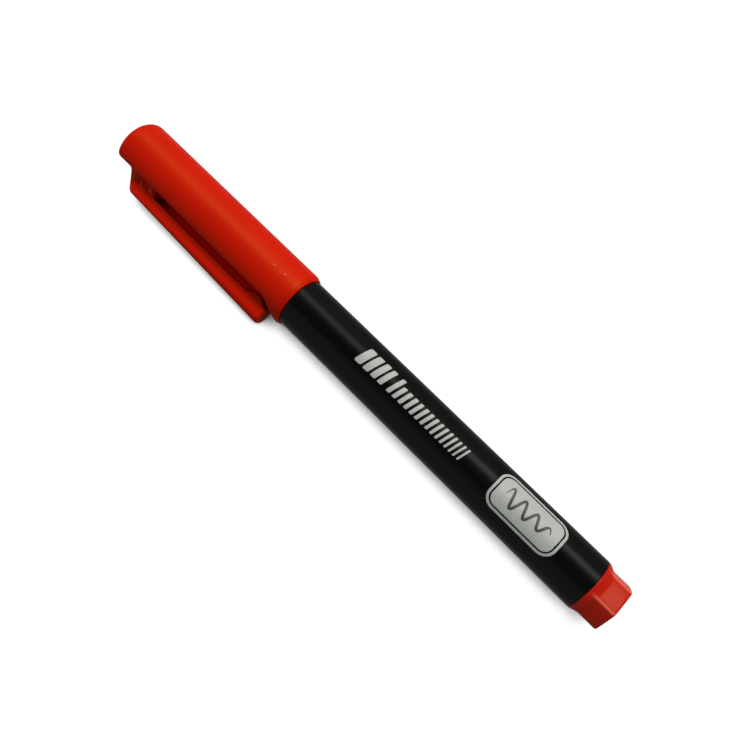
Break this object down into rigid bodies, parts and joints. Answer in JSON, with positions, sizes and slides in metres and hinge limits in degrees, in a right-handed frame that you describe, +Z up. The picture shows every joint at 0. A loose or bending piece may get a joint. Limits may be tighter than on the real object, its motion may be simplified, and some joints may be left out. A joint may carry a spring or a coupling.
{
  "type": "fine-point marker pen",
  "caption": "Slim permanent marker lying on its side, with a push-on cap, pocket clip, plain round barrel and six-sided end plug.",
  "frame": {"origin": "centre of the footprint, on the table the marker lies on", "axes": "+X along the pen towards the end plug, +Z up, the clip on the -Y side with its tip on the table"},
  "size_m": [0.1344, 0.0148, 0.0125],
  "materials": {
    "cap_plastic": "moulded red polypropylene, softly glossy",
    "plug_plastic": "moulded red polypropylene, softly glossy, a little paler than the cap",
    "barrel_plastic": "black polypropylene tube with a satin face and silver-grey print",
    "holder_plastic": "moulded black polypropylene, satin",
    "inner_plastic": "natural white polyethylene",
    "nib_fibre": "pressed polyester fibre soaked with red ink",
    "core_fibre": "bundled polyester fibre soaked with red ink",
    "film_plastic": "thin clear wrap"
  },
  "bodies": {
    "barrel": {"barrel": "barrel_plastic", "nib_holder": "holder_plastic", "nib": "nib_fibre", "ink_reservoir": "core_fibre", "reservoir_film": "film_plastic", "end_plug": "plug_plastic"},
    "inner_cap": {"inner_cap": "inner_plastic"},
    "cap": {"cap": "cap_plastic"},
    "clip": {"cap_clip": "cap_plastic"}
  },
  "joints": [
    {"name": "cap_pull", "type": "slide", "parent": "barrel", "child": "inner_cap", "axis": [-1, 0, 0], "range_m": [0, 0.045]},
    {"name": "cap_turn", "type": "hinge", "parent": "inner_cap", "child": "cap", "pos_m": [-0.03, 0.0011, 0.00627], "axis": [1, 0, 0], "continuous": true},
    {"name": "clip_flex", "type": "hinge", "parent": "cap", "child": "clip", "pos_m": [-0.05415, -0.00484, 0.00238], "axis": [0, 0.5477, -0.8367], "range_deg": [0, 3.5], "stiffness_Nm_per_rad": 1.2}
  ]
}
